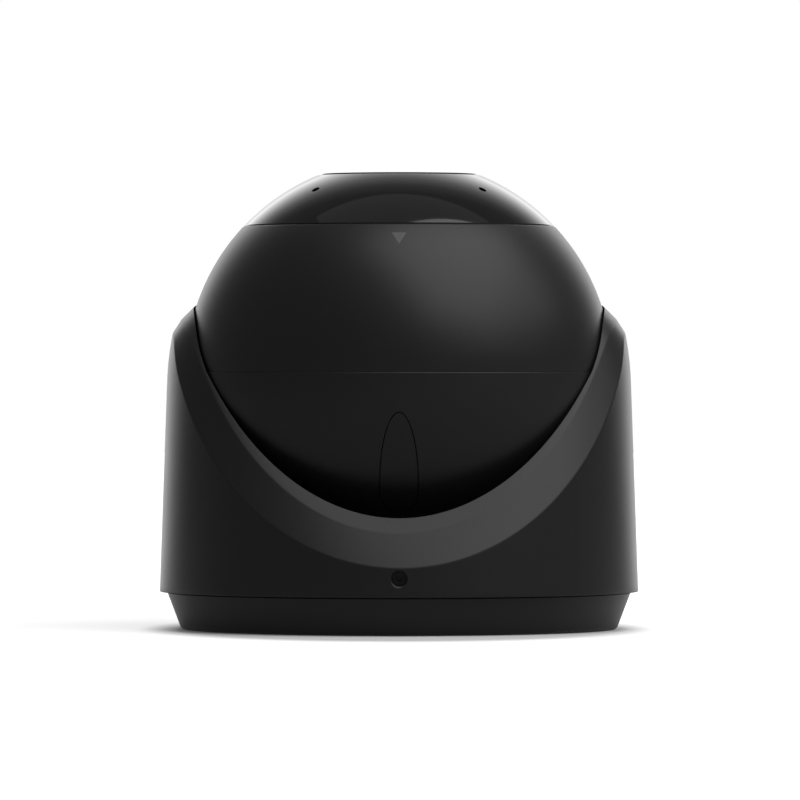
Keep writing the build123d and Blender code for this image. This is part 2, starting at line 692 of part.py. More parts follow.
def chassis_plate():
    """A cast aluminium bulkhead with threaded bosses, a cable slot and a pad that takes the chip's heat."""
    plate = disc(CHASSIS_R, CHASSIS_LOW, CHASSIS_TOP_Z)
    for x, y in SCREW_SPOTS:
        plate += disc(3.6, CHASSIS_TOP_Z - 1, CHASSIS_TOP_Z + 4, x=x, y=y)
    plate += block(PROCESSOR_W + 1, PROCESSOR_W + 1, HEAT_PAD_TOP, CHASSIS_LOW + 1, y=CHIP_Y)
    rib_end = BRACKET_POST_RING - BRACKET_POST_R - CHASSIS_RIB_GAP
    rib_mid, rib_long = (CHASSIS_RIB_START + rib_end) / 2, rib_end - CHASSIS_RIB_START
    rib = block(rib_long, CHASSIS_RIB_T, CHASSIS_TOP_Z - 1, CHASSIS_TOP_Z + 3, x=rib_mid)
    for turn in range(0, 360, 30):
        plate += Rot(0, 0, turn) * rib
    plate -= block(CABLE_W + 4, 4, -DEEP, DEEP, y=CABLE_RISE_Y)
    plate = drilled(plate, SCREW_SPOTS, TIE_SCREW_R)
    return drilled(plate, CHASSIS_SPOTS, CHASSIS_SCREW_R + 0.2)


def board(radius, low, spots, hole_r):
    """A round circuit board that slips over the shell's tubular bosses."""
    plate = disc(radius, low, low + BOARD_T)
    plate -= disc(4.0, low - 1, low + BOARD_T + 1)
    return drilled(plate, spots, hole_r)


def spacers():
    """Plain tubes on the shell's bosses that hold the two boards and the chassis apart."""
    tubes = []
    for low, high in ((PART_BASE, MAIN_BOARD_Z), (CONNECTOR_BASE, CHASSIS_LOW)):
        tubes += [disc(TIE_STEP_R, low, high, bore=TIE_BOSS_R, x=x, y=y) for x, y in SCREW_SPOTS]
    return tubes


def flat_cable():
    """The flat cable from the main board up through the chassis slot to the sensor board."""
    low, high = MAIN_BOARD_Z + BOARD_T + 1.0, BRACKET_Z - BOARD_T - 0.3
    start = CONNECTOR_Y + 2.5
    path = Polyline((0, start, low), (0, CABLE_RISE_Y, low), (0, CABLE_RISE_Y, high), (0, 9, high))
    corners = [v for v in path.vertices() if abs(v.Y - CABLE_RISE_Y) < SMALL]
    bend = fillet(corners, 1.5)
    strip = Plane(origin=(0, start, low), x_dir=(1, 0, 0), z_dir=(0, 1, 0)) * Rectangle(CABLE_W, CABLE_T)
    return sweep(strip, bend)


def capacitors():
    rows = [-2 + 8 * i for i in range(3)]
    return [disc(CAPACITOR_R, PART_BASE, PART_BASE + CAPACITOR_H, x=-22, y=y) for y in rows]


node("chassis_plate", chassis_plate())
node("chassis_screws", *[
    cap_screw(CHASSIS_SCREW_R, 2.5, 1.6, CHASSIS_LOW, 8.5, x, y) for x, y in CHASSIS_SPOTS])
node("main_board", board(MAIN_BOARD_R, MAIN_BOARD_Z, SCREW_SPOTS, TIE_BOSS_R))
node("processor", block(PROCESSOR_W, PROCESSOR_W, CHIP_TOP - CHIP_T, CHIP_TOP, y=CHIP_Y))
node("memory_chips", *[
    block(8, 10, CHIP_TOP - CHIP_T, CHIP_TOP - 0.3, x=side * 23, y=CHIP_Y - 2) for side in (1, -1)])
node("heat_pad", block(PROCESSOR_W, PROCESSOR_W, CHIP_TOP, HEAT_PAD_TOP, y=CHIP_Y))
node("board_connector", block(CABLE_W + 2, 5, CONNECTOR_BASE, CONNECTOR_BASE + CONNECTOR_T, y=CONNECTOR_Y))
node("board_spacers", *spacers())
node("power_board", board(POWER_BOARD_R, POWER_BOARD_Z, SCREW_SPOTS, TIE_BOSS_R))
node("network_transformer", block(TRANSFORMER_W, TRANSFORMER_D, PART_BASE, PART_BASE + 6, y=-20))
node("power_capacitors", *capacitors())


# Lens, lamps and microphones under the gloss cover

REBATE_Z = WINDOW_TOP_Z - WINDOW_T - 0.3
LED_TOP = LED_BOARD_Z + LED_BOARD_T
LED_SPOTS = ring_of(6, LED_RING_R)[:4]
LENS_LOW = BRACKET_Z + 6.0
LENS_NECK = LENS_TOP_Z - 7.0
GLASS_SEAT = LENS_TOP_Z - 3.0


def mic_axis(x_side):
    """The plane square to a microphone hole, with its centre at the ball's centre."""
    polar, azimuth = radians(MIC_POLAR), radians(MIC_AZIMUTH)
    out = (x_side * sin(polar) * sin(azimuth), -sin(polar) * cos(azimuth), cos(polar))
    return Plane(origin=(0, 0, 0), x_dir=(out[2], 0, -out[0]), z_dir=out)


def front_cover():
    """The gloss dome, with the window's rebate, a skirt into the front shell and screw bosses."""
    inner_r = BALL_R - COVER_WALL
    cover = round_cap(BALL_R, COVER_SEAM_Z, WINDOW_TOP_Z - WINDOW_PROUD)
    cover -= round_cap(inner_r, COVER_SEAM_Z - 1, REBATE_Z - WINDOW_LEDGE_T)
    cover += disc(SKIRT_R, SKIRT_LOW, COVER_SEAM_Z + 1.2, bore=SKIRT_R - SKIRT_WALL)
    for x, y in COVER_SPOTS:
        cover += disc(2.4, SKIRT_LOW, SKIRT_LOW + 3.2, x=x, y=y)
        cover -= disc(SENSOR_SCREW_R, SKIRT_LOW - 1, SKIRT_LOW + 2.4, x=x, y=y)
    cover -= disc(WINDOW_R + 0.15, REBATE_Z, DEEP)
    cover -= disc(WINDOW_R - WINDOW_LEDGE_W, 0, DEEP)
    for side in (1, -1):
        cover -= mic_axis(side).location * disc(MIC_HOLE_R, inner_r - 4, BALL_R + 2)
    return cover


def lens_window():
    glass = disc(WINDOW_R, WINDOW_TOP_Z - WINDOW_T, WINDOW_TOP_Z)
    return chamfer(glass.edges().sort_by(Axis.Z)[-1:], 0.2)


def lens_bracket():
    """A pressed plate with the lens hole, a stiff rim and three screw holes."""
    plate = disc(BRACKET_R, BRACKET_Z, BRACKET_Z + BRACKET_T)
    plate += disc(BRACKET_R, BRACKET_Z - 3, BRACKET_Z + 1, bore=BRACKET_R - 1.6)
    plate -= disc(11.6, BRACKET_Z - 1, BRACKET_Z + BRACKET_T + 1)
    plate = drilled(plate, POST_SPOTS, CHASSIS_SCREW_R)
    return drilled(plate, SENSOR_SPOTS, SENSOR_SCREW_R)


def lens_holder():
    """The square foot on the sensor board and the threaded tube that holds the lens."""
    foot_top = BRACKET_Z + HOLDER_FOOT_H
    hollow_w = HOLDER_W - 2 * HOLDER_WALL
    holder = block(HOLDER_W, HOLDER_W, BRACKET_Z, foot_top)
    holder += disc(LENS_R + HOLDER_WALL + 0.2, foot_top - 1, foot_top + HOLDER_TUBE_H)
    holder -= block(hollow_w, hollow_w, BRACKET_Z - 1, foot_top - HOLDER_WALL + 0.2)
    return holder - disc(LENS_R, BRACKET_Z - 1, foot_top + HOLDER_TUBE_H + 1)


def lens_barrel():
    """The lens tube with its wider head and the bowl round the front glass."""
    barrel = disc(LENS_R, LENS_LOW, LENS_NECK) + disc(LENS_HEAD_R, LENS_NECK, LENS_TOP_Z)
    barrel -= disc(LENS_R - 1.4, LENS_LOW - 1, LENS_TOP_Z + 1)
    bowl = turned(
        (0, LENS_TOP_Z + SMALL), (LENS_HEAD_R - 0.5, LENS_TOP_Z + SMALL), (LENS_R - 0.4, LENS_TOP_Z - 1.8),
        (LENS_R - 0.4, GLASS_SEAT), (0, GLASS_SEAT)
    )
    return barrel - bowl


def lens_glass():
    """The domed front glass seated in the head, and the rear glass low in the tube."""
    dome_r = 9.0
    dome = Pos(0, 0, GLASS_SEAT + 1.9 - dome_r) * Sphere(dome_r)
    front = dome & disc(LENS_R - 0.45, GLASS_SEAT, GLASS_SEAT + 3)
    rear = disc(LENS_R - 1.45, LENS_LOW + 1, LENS_LOW + 3)
    return front, rear


def light_baffle():
    """A soft black funnel between lamp board and window that keeps the lamps' light out of the lens."""
    top = WINDOW_TOP_Z - WINDOW_T
    return turned((9.4, LED_TOP), (11.0, LED_TOP), (WINDOW_R - 2.6, top), (WINDOW_R - 4.0, top))


def lamp_cups():
    """A conical reflector round each infrared lamp."""
    cups = []
    for x, y in LED_SPOTS:
        cup = Cone(2.6, LED_CUP_R, 2.6, align=(Align.CENTER, Align.CENTER, Align.MIN))
        bowl = Cone(2.2, LED_CUP_R - 0.3, 2.62, align=(Align.CENTER, Align.CENTER, Align.MIN))
        cup -= Pos(0, 0, -0.01) * bowl
        cups.append(Pos(x, y, LED_TOP) * cup)
    return cups


def lamps():
    lamp_set = []
    for x, y in LED_SPOTS:
        base = block(3.0, 3.0, LED_TOP, LED_TOP + 0.8, x=x, y=y)
        dome = Pos(x, y, LED_TOP + 0.8) * Sphere(1.4) & disc(1.4, LED_TOP + 0.8, LED_TOP + 3, x=x, y=y)
        lamp_set.append(base + dome)
    return lamp_set


def microphone_spot(side):
    """Where a microphone stands on the lamp board, under its hole."""
    reach = (LED_TOP + 2.5) / cos(radians(MIC_POLAR)) * sin(radians(MIC_POLAR))
    return side * reach * sin(radians(MIC_AZIMUTH)), -reach * cos(radians(MIC_AZIMUTH))


def microphones():
    spots = [microphone_spot(side) for side in (1, -1)]
    return [disc(MIC_R, LED_TOP, LED_TOP + 1.4, x=x, y=y) for x, y in spots]


def microphone_boots():
    """Rubber tubes that lead each hole in the cover down to its microphone."""
    boots = []
    bend_at = (LED_TOP + 2.5) / cos(radians(MIC_POLAR)) - 0.4
    for side in (1, -1):
        x, y = microphone_spot(side)
        axis = mic_axis(side).location
        boot = disc(MIC_R + 0.7, LED_TOP, LED_TOP + 3.6, x=x, y=y)
        boot += axis * disc(MIC_R, bend_at, BALL_R)
        boot &= Sphere(BALL_R - COVER_WALL - 0.05)
        boot -= disc(MIC_R, LED_TOP - 1, LED_TOP + 1.4, x=x, y=y)
        boots.append(boot - axis * disc(MIC_HOLE_R, bend_at - 1.8, BALL_R + 1))
    return boots


def lamp_board():
    plate = disc(SKIRT_R - SKIRT_WALL - LED_BOARD_GAP, LED_BOARD_Z, LED_TOP, bore=8.8)
    return drilled(plate, LED_POST_SPOTS, LED_PEG_R)


node("front_cover", front_cover())
node("cover_seal", disc(SKIRT_R, LEDGE_TOP, SKIRT_LOW, bore=SKIRT_R - SKIRT_WALL))
node("cover_screws", *[
    cap_screw(SENSOR_SCREW_R, 1.9, 1.4, LEDGE_TOP - LEDGE_T, 4.4, x, y) for x, y in COVER_SPOTS])
node("lens_window", lens_window())
node("window_gasket", disc(WINDOW_R, REBATE_Z, WINDOW_TOP_Z - WINDOW_T, bore=WINDOW_R - 2.0))
node("lens_bracket", lens_bracket())
node("bracket_posts", *[
    disc(BRACKET_POST_R, CHASSIS_TOP_Z, BRACKET_Z, bore=CHASSIS_SCREW_R, x=x, y=y) for x, y in POST_SPOTS])
node("bracket_screws", *[
    cap_screw(CHASSIS_SCREW_R, 2.4, 1.6, BRACKET_Z + BRACKET_T, 8.0, x, y, up=False) for x, y in POST_SPOTS])
node("sensor_board", drilled(
    block(SENSOR_BOARD_W, SENSOR_BOARD_W, BRACKET_Z - BOARD_T, BRACKET_Z), SENSOR_SPOTS, SENSOR_SCREW_R))
node("sensor_screws", *[
    cap_screw(SENSOR_SCREW_R, 1.8, 1.2, BRACKET_Z - BOARD_T, 3.4, x, y) for x, y in SENSOR_SPOTS])
node("image_sensor", block(9.0, 7.0, BRACKET_Z, BRACKET_Z + 1.4))
node("lens_holder", lens_holder())
node("lens_barrel", lens_barrel())
node("lens_glass", *lens_glass())
node("light_baffle", light_baffle())
node("lamp_board", lamp_board())
node("lamp_posts", *[
    disc(LED_POST_R, BRACKET_Z + BRACKET_T, LED_BOARD_Z, x=x, y=y)
    + disc(LED_PEG_R, LED_BOARD_Z - 1, LED_TOP, x=x, y=y) for x, y in LED_POST_SPOTS])
node("infrared_lamps", *lamps())
node("lamp_cups", *lamp_cups())
node("light_sensor", block(2.4, 2.4, LED_TOP, LED_TOP + 0.9, y=-LED_RING_R - 3))
node("microphones", *microphones())
node("microphone_boots", *microphone_boots())
node("flat_cable", flat_cable())


os.makedirs("parts", exist_ok=True)
for name, solids in NODES.items():
    export_step(Compound(children=solids) if len(solids) > 1 else solids[0], f"parts/{name}.step")
    print(name, len(solids), round(sum(s.volume for s in solids), 1))
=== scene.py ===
from math import cos, pi, radians, sin, sqrt, tan

import bpy
import numpy as np
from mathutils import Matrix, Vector


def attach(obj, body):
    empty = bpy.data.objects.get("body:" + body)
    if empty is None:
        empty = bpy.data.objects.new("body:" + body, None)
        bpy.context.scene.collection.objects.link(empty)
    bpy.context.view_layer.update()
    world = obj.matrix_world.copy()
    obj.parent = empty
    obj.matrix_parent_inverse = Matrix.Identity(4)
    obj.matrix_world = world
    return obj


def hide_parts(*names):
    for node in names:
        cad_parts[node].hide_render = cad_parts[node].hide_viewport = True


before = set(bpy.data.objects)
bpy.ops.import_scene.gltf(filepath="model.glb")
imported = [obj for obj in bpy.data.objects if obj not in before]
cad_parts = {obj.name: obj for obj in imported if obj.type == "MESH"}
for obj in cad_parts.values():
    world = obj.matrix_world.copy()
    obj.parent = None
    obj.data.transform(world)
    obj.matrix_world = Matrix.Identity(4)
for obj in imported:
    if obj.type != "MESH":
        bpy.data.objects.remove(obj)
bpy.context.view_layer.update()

# Camera. It stands level, about as high as the middle of the camera housing, and far enough off that the
# foot's curve is almost flat. The object sits a little high in the picture.
MM = 0.001
VIEW_WIDTH = 183.96
VIEW_DISTANCE = 1747.6
VIEW_HEIGHT = 58.2
camera_data = bpy.data.cameras.new("camera")
camera_data.sensor_width = 36.0
camera_data.lens = camera_data.sensor_width * VIEW_DISTANCE / VIEW_WIDTH
camera_data.shift_x = 0.0012
camera_data.shift_y = -0.0306
camera = bpy.data.objects.new("camera", camera_data)
camera.location = (0, -VIEW_DISTANCE * MM, VIEW_HEIGHT * MM)
camera.rotation_euler = (radians(90), 0, 0)
bpy.context.scene.collection.objects.link(camera)
bpy.context.scene.camera = camera


# Mounting foot. A tapered dish moulded in black plastic with a fine spark-eroded texture, screwed to the wall
# through its floor. The housing turns on its spigot.
class Wire:
    """A socket in a material. Arithmetic on it adds Math nodes, and node() adds any other node beside it."""

    def __init__(self, tree, socket=None):
        self.tree, self.socket = tree, socket

    def node(self, kind, settings=None, sockets=None, output=0):
        made = self.tree.nodes.new("ShaderNode" + kind)
        for key, value in (settings or {}).items():
            if key == "stops":
                stops = made.color_ramp.elements
                while len(stops) < len(value):
                    stops.new(1.0)
                for stop, (place, shade) in zip(stops, value):
                    stop.position, stop.color = place, (*shade, 1.0)
            else:
                setattr(made, key, value)
        for key, value in (sockets or {}).items():
            if isinstance(value, Wire):
                self.tree.links.new(value.socket, made.inputs[key])
            else:
                made.inputs[key].default_value = value
        return Wire(self.tree, made.outputs[output] if made.outputs else None)

    def math(self, operation, *values):
        return self.node("Math", {"operation": operation}, dict(enumerate(values)))

    def __add__(self, other):
        return self.math("ADD", self, other)

    def __sub__(self, other):
        return self.math("SUBTRACT", self, other)

    def __rsub__(self, other):
        return self.math("SUBTRACT", other, self)

    def __mul__(self, other):
        return self.math("MULTIPLY", self, other)

    __radd__ = __add__
    __rmul__ = __mul__


def finish(name, surface, **constants):
    """A material whose Principled shader takes these constants, and what surface() draws on it in metres."""
    material = bpy.data.materials.new(name)
    material.use_nodes = True
    tree = material.node_tree
    tree.nodes.clear()
    place = Wire(tree).node("TexCoord", output=3)
    sockets = {key.replace("_", " "): value for key, value in constants.items()}
    sockets.update(surface(place))
    shader = place.node("BsdfPrincipled", {}, sockets)
    place.node("OutputMaterial", {}, {"Surface": shader})
    return material


def noise(place, size, detail=2.0):
    """Soft random shades, 0 to 1, of about this size in millimetres."""
    return place.node("TexNoise", {}, {"Vector": place, "Scale": 1 / (size * MM), "Detail": detail})


def dented(place, height, depth):
    """A normal that follows small dents of this depth in millimetres."""
    return place.node("Bump", {}, {"Height": height, "Distance": depth * MM, "Strength": 1.0})


def shades(value, dark, light):
    """A colour between two shades."""
    return value.node("Mix", {"data_type": "RGBA"}, {0: value, 6: (*dark, 1.0), 7: (*light, 1.0)}, output=2)


SATIN_DARK = (0.0082, 0.0082, 0.0086)
SATIN_LIGHT = (0.0125, 0.0125, 0.0130)
SATIN_GRAIN = 0.32
SATIN_GRAIN_DEPTH = 0.010
SATIN_PATCH = 14.0


def satin_surface(place):
    grain = noise(place, SATIN_GRAIN, 3.0)
    patches = noise(place, SATIN_PATCH)
    return {
        "Base Color": shades(0.6 * grain + 0.4 * patches, SATIN_DARK, SATIN_LIGHT),
        "Roughness": 0.335 + 0.06 * grain + 0.03 * patches,
        "Normal": dented(place, grain, SATIN_GRAIN_DEPTH),
    }


satin_plastic = finish("housing_plastic", satin_surface, IOR=1.5)


def dress(material, *names):
    """CAD nodes keep their shape and take a material."""
    for name in names:
        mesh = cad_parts[name].data
        mesh.materials.clear()
        mesh.materials.append(material)
        for face in mesh.polygons:
            face.material_index = 0


dress(satin_plastic, "mounting_foot")


# Wall gasket. A ring of closed-cell foam let into the underside of the foot, which the wall screws squeeze.
def foam_surface(place):
    cells = place.node("TexVoronoi", {}, {"Vector": place, "Scale": 1 / (0.6 * MM)})
    return {
        "Base Color": shades(cells, (0.035, 0.035, 0.037), (0.012, 0.012, 0.013)),
        "Normal": dented(place, cells, 0.08),
    }


foam = finish("foam", foam_surface, Roughness=0.9)
dress(foam, "wall_gasket")


# Rubber pieces. The cable bush in the foot, the seals between the mouldings, the gland in the neck, the light
# baffle and the microphone boots are pressed from black silicone rubber, dull and slightly dusty.
def rubber_surface(place):
    dust = noise(place, 2.5, 4.0)
    return {
        "Base Color": shades(dust, (0.009, 0.009, 0.010), (0.020, 0.020, 0.021)),
        "Roughness": 0.62 + 0.16 * dust,
        "Normal": dented(place, noise(place, 0.25), 0.004),
    }


rubber = finish("soft_rubber", rubber_surface, IOR=1.42)
dress(rubber, "cable_grommet", "foot_seal", "shell_seal", "neck_gland", "cover_seal", "window_gasket",
      "microphone_boots", "light_baffle")


# Snap ring, screws and pivot pins. A split ring bent from spring wire holds the housing on the spigot and lets
# it turn. The screws and pins are bright steel, turned and cold-headed, with fine marks round them.
def steel_surface(place):
    streaks = place.node("Mapping", {}, {"Vector": place, "Scale": (1.0, 1.0, 9.0)})
    wear = noise(streaks, 0.9, 3.0)
    return {
        "Base Color": shades(wear, (0.42, 0.42, 0.42), (0.56, 0.56, 0.55)),
        "Roughness": 0.24 + 0.18 * wear,
    }


steel = finish("screw_steel", steel_surface, Metallic=1.0)
dress(steel, "snap_ring", "tie_screws", "chassis_screws", "cover_screws", "bracket_screws", "sensor_screws",
      "pivot_pins")

# Housing. A drafted cup moulded in the same black plastic. Its rim is a saddle round the ball, low at the
# front and level at the back: a wide outer bevel, a soft crease, and a land that climbs to the ball or, low
# at the front, to the drafted well round it. The lengths are in millimetres, with heights from the ball's
# centre, but BALL_Z, SHELL_LOW_Z and SNAP_GROOVE_Z from the wall.
BALL_R = 49.0
BALL_Z = 59.0
BALL_GAP = 0.42
SHELL_R = 55.0
SHELL_LOW_Z = 8.6
SHELL_DRAFT = radians(2.0)
SHOULDER_Z = -2.1
SHOULDER_R = 68.0
SOCKET_R = BALL_R + BALL_GAP
RIM_WALL = 3.0
CREASE_R = 50.05
REGISTER_R = 51.0
SNAP_GROOVE_R = 52.0
SNAP_GROOVE_Z = (9.2, 10.9)
RIM_LAND = (radians(45.0), radians(9.0))
WELL_DRAFT = radians(3.4)
RIM_OUTER = (-0.8918, 1.3204, 0.1939, 0.0959)
RIM_CREASE = (-0.7245, 1.4245, 0.2735, 0.2245)
RIM_LEVEL = radians(108)
RIM_TURNS = 480
LAND_SEARCH = 12.0
HALVINGS = 40
WALL_STEPS = 20
WALL_ENDS = (1.5, 0.8)
LOWER_FLAT = 0.6
LOWER_ROUND = 0.35
BEVEL_ROUND = 0.45
CREASE_ROUND = 0.32
SOCKET_ROUND = 0.3
UNDER_ROUND = 0.2
UNDER_CREASE = 0.1
REGISTER_DROP = 0.8
ROUND_STEPS = 5
ROUND_SHARE = 0.45
SHELL_LOW = SHELL_LOW_Z - BALL_Z
SHOULDER_START_R = SHELL_R - (SHOULDER_Z - SHELL_LOW) * tan(SHELL_DRAFT)
SHOULDER_IN = SHOULDER_START_R - SHOULDER_R * cos(SHELL_DRAFT)
SHOULDER_DOWN = SHOULDER_Z - SHOULDER_R * sin(SHELL_DRAFT)


def rounded(corners):
    """A closed outline of (radius, height, rounding) corners, with each corner softened by its rounding."""
    outline = []
    for i, (radius, height, soft) in enumerate(corners):
        corner = np.array((radius, height))
        if not soft:
            outline.append(corner)
            continue
        before = np.array(corners[i - 1][:2]) - corner
        after = np.array(corners[(i + 1) % len(corners)][:2]) - corner
        reach = min(soft, ROUND_SHARE * np.hypot(*before), ROUND_SHARE * np.hypot(*after))
        start, end = corner + reach * before / np.hypot(*before), corner + reach * after / np.hypot(*after)
        for t in np.linspace(0, 1, ROUND_STEPS + 1):
            outline.append((1 - t) ** 2 * start + 2 * t * (1 - t) * corner + t ** 2 * end)
    return outline


def shell_radius(height):
    """Outer radius of the housing at a height: a drafted wall, then the round shoulder."""
    if height < SHOULDER_Z:
        return SHELL_R - (height - SHELL_LOW) * tan(SHELL_DRAFT)
    return SHOULDER_IN + sqrt(SHOULDER_R ** 2 - (height - SHOULDER_DOWN) ** 2)


def rim_height(azimuth, edge):
    """Height of one edge of the rim at an azimuth from the front. It is low there and level round the back."""
    low, climb, top, blend = edge
    rise = low + climb * (1 - max(cos(azimuth), cos(RIM_LEVEL)))
    return BALL_R * (rise + top - sqrt((rise - top) ** 2 + blend ** 2)) / 2


def chord(radius, height):
    """Radius of a ball's section at a height."""
    return sqrt(radius ** 2 - height ** 2)


def inside_radius(height):
    """Radius of the housing's inside at a height: the drafted well, and above it the socket of the ball."""
    return SOCKET_R + height * tan(WELL_DRAFT) if height < 0 else chord(SOCKET_R, height)


def land_end(crease, azimuth):
    """Height where the land meets the inside. It climbs from the crease, a little steeper at the front."""
    climb = tan(RIM_LAND[0] + RIM_LAND[1] * max(0, cos(azimuth)))
    low, high = crease, crease + LAND_SEARCH
    for _ in range(HALVINGS):
        middle = (low + high) / 2
        if CREASE_R - (middle - crease) / climb > inside_radius(middle):
            low = middle
        else:
            high = middle
    return low


def shell_section(azimuth):
    """The housing's wall at one azimuth as (radius, height) points, from the lower edge up and down inside."""
    outer, crease = rim_height(azimuth, RIM_OUTER), rim_height(azimuth, RIM_CREASE)
    inner = land_end(crease, azimuth)
    heights = np.linspace(SHELL_LOW + WALL_ENDS[0], outer - WALL_ENDS[1], WALL_STEPS)
    under = inner - RIM_WALL
    groove_low, groove_high = [z - BALL_Z for z in SNAP_GROOVE_Z]
    return rounded([
        (REGISTER_R, SHELL_LOW, 0),
        (SHELL_R - LOWER_FLAT, SHELL_LOW, 0),
        (SHELL_R, SHELL_LOW, LOWER_ROUND),
        *[(shell_radius(z), z, 0) for z in heights],
        (shell_radius(outer), outer, BEVEL_ROUND),
        (CREASE_R, crease, CREASE_ROUND),
        (inside_radius(inner), inner, SOCKET_ROUND),
        (inside_radius(under), under, UNDER_ROUND),
        (CREASE_R + UNDER_CREASE, crease - RIM_WALL, UNDER_ROUND),
        (REGISTER_R, min(crease - RIM_WALL, outer) - REGISTER_DROP, 0),
        (REGISTER_R, groove_high, 0),
        (SNAP_GROOVE_R, groove_high, 0),
        (SNAP_GROOVE_R, groove_low, 0),
        (REGISTER_R, groove_low, 0),
    ])


def ring_mesh(name, sections):
    """A solid through outlines that stand round the Z axis, each (radius, height) about the ball's centre."""
    count, length = len(sections), len(sections[0])
    points = []
    for i, section in enumerate(sections):
        turn = 2 * pi * i / count
        points += [(r * sin(turn) * MM, -r * cos(turn) * MM, (z + BALL_Z) * MM) for r, z in section]
    faces = []
    for i in range(count):
        a, b = i * length, (i + 1) % count * length
        for j in range(length):
            k = (j + 1) % length
            faces.append((a + j, b + j, b + k, a + k))
    mesh = bpy.data.meshes.new(name)
    mesh.from_pydata(points, [], faces)
    return mesh


def piece(name, mesh, body, material, nodes=()):
    """A shown piece of the object, which moves with a CAD body and stands for CAD nodes."""
    made = bpy.data.objects.new(name, mesh)
    bpy.context.scene.collection.objects.link(made)
    mesh.materials.clear()
    mesh.materials.append(material)
    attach(made, body)
    if nodes:
        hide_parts(*nodes)
    return made


def bored(name, mesh, *cutters):
    """The mesh with the cutters' shapes taken out of it."""
    body = bpy.data.objects.new(name, mesh)
    bpy.context.scene.collection.objects.link(body)
    tools = []
    for cutter in cutters:
        tool = bpy.data.objects.new("cutter", cutter)
        bpy.context.scene.collection.objects.link(tool)
        cut = body.modifiers.new("cut", "BOOLEAN")
        cut.object, cut.operation, cut.solver = tool, "DIFFERENCE", "EXACT"
        tools.append(tool)
    result = bpy.data.meshes.new_from_object(body.evaluated_get(bpy.context.evaluated_depsgraph_get()))
    for used in (body, *tools):
        bpy.data.objects.remove(used)
    return result


def rod(axis, start, end, radius, sides=64, end_radius=None):
    """A round bar along an axis between two points, given from the ball's centre, straight or tapered."""
    axis = Vector(axis).normalized()
    across = axis.orthogonal().normalized()
    over = axis.cross(across)
    centre = Vector((0, 0, BALL_Z))
    points = []
    for along, reach in ((start, radius), (end, end_radius or radius)):
        for i in range(sides):
            turn = 2 * pi * i / sides
            point = centre + Vector(along) + reach * (cos(turn) * across + sin(turn) * over)
            points.append(point * MM)
    faces = [tuple(range(sides))[::-1], tuple(range(sides, 2 * sides))]
    for i in range(sides):
        k = (i + 1) % sides
        faces.append((i, k, k + sides, i + sides))
    mesh = bpy.data.meshes.new("rod")
    mesh.from_pydata(points, [], faces)
    return mesh


def shaded(mesh, ball=None):
    """Smooth shading with crisp corners. Faces on a ball of this radius get the ball's own normals."""
    mesh.polygons.foreach_set("use_smooth", [True] * len(mesh.polygons))
    mesh.set_sharp_from_angle(angle=CRISP_ANGLE)
    mesh.update()
    if ball:
        centre = Vector((0, 0, BALL_Z * MM))
        normals = [Vector(corner.vector) for corner in mesh.corner_normals]
        for face in mesh.polygons:
            spokes = [mesh.vertices[v].co - centre for v in face.vertices]
            if all(abs(spoke.length - ball * MM) < ON_BALL * MM for spoke in spokes):
                for loop, spoke in zip(face.loop_indices, spokes):
                    normals[loop] = spoke.normalized()
        mesh.normals_split_custom_set(normals)
    return mesh


CRISP_ANGLE = radians(32.0)
ON_BALL = 0.004
LOCK_Z = 12.9 - BALL_Z
LOCK_MOUTH_R = 1.75
LOCK_R = 1.56
LOCK_INNER = 49.0
LOCK_HEAD = 52.85
LOCK_OUTSIDE = 60.0
LOCK_FLARE = 0.30
FLARE_OUT = 1.0
FLARE_LAP = 0.02
PIN_R = 4.06
PIN_ENDS = (48.0, 52.55)
shell_mesh = ring_mesh("turret_shell", [shell_section(2 * pi * i / RIM_TURNS) for i in range(RIM_TURNS)])
lock_mouth = shell_radius(LOCK_Z)
shell_mesh = bored(
    "turret_shell", shell_mesh,
    rod((0, -1, 0), (0, -LOCK_INNER, LOCK_Z), (0, -LOCK_OUTSIDE, LOCK_Z), LOCK_R),
    rod((0, -1, 0), (0, -LOCK_HEAD, LOCK_Z), (0, -LOCK_OUTSIDE, LOCK_Z), LOCK_MOUTH_R),
    rod((0, -1, 0), (0, -lock_mouth + LOCK_FLARE, LOCK_Z), (0, -lock_mouth - FLARE_OUT, LOCK_Z),
        LOCK_MOUTH_R - FLARE_LAP, end_radius=LOCK_MOUTH_R + LOCK_FLARE + FLARE_OUT),
    *[rod((side, 0, 0), (side * PIN_ENDS[0], 0, 0), (side * PIN_ENDS[1], 0, 0), PIN_R) for side in (1, -1)],
)
shell = piece("housing", shaded(shell_mesh), "turret", satin_plastic, ["turret_shell"])


# Land of the rim, moulded in one with the housing in the same plastic, a little rougher there. Its colour is
# painted paler than the housing's: a painted highlight for the light from above that the upward-facing land
# catches.
# Painted highlight: the land's two shades are paler than the housing's.
LAND_PAINTED_LIT_DARK = (0.0155, 0.0155, 0.0160)
LAND_PAINTED_LIT_LIGHT = (0.0215, 0.0215, 0.0222)
LAND_MARGIN = 0.05
LAND_FACING = 0.3


def painted_lit_land_surface(place):
    grain = noise(place, SATIN_GRAIN, 3.0)
    return {
        "Base Color": shades(grain, LAND_PAINTED_LIT_DARK, LAND_PAINTED_LIT_LIGHT),
        "Roughness": 0.36 + 0.06 * grain,
        "Normal": dented(place, grain, SATIN_GRAIN_DEPTH),
    }


painted_lit_land_plastic = finish("rim_land_painted_light", painted_lit_land_surface, IOR=1.5)
shell_mesh.materials.append(painted_lit_land_plastic)
# The land's faces take the paler material, with its painted highlight.
for face in shell_mesh.polygons:
    x, y, z = face.center / MM
    inside = np.hypot(x, y) < CREASE_R - LAND_MARGIN
    above = z - BALL_Z > rim_height(np.arctan2(x, -y), RIM_CREASE) + LAND_MARGIN
    if inside and above and face.normal.z > LAND_FACING:
        face.material_index = 1


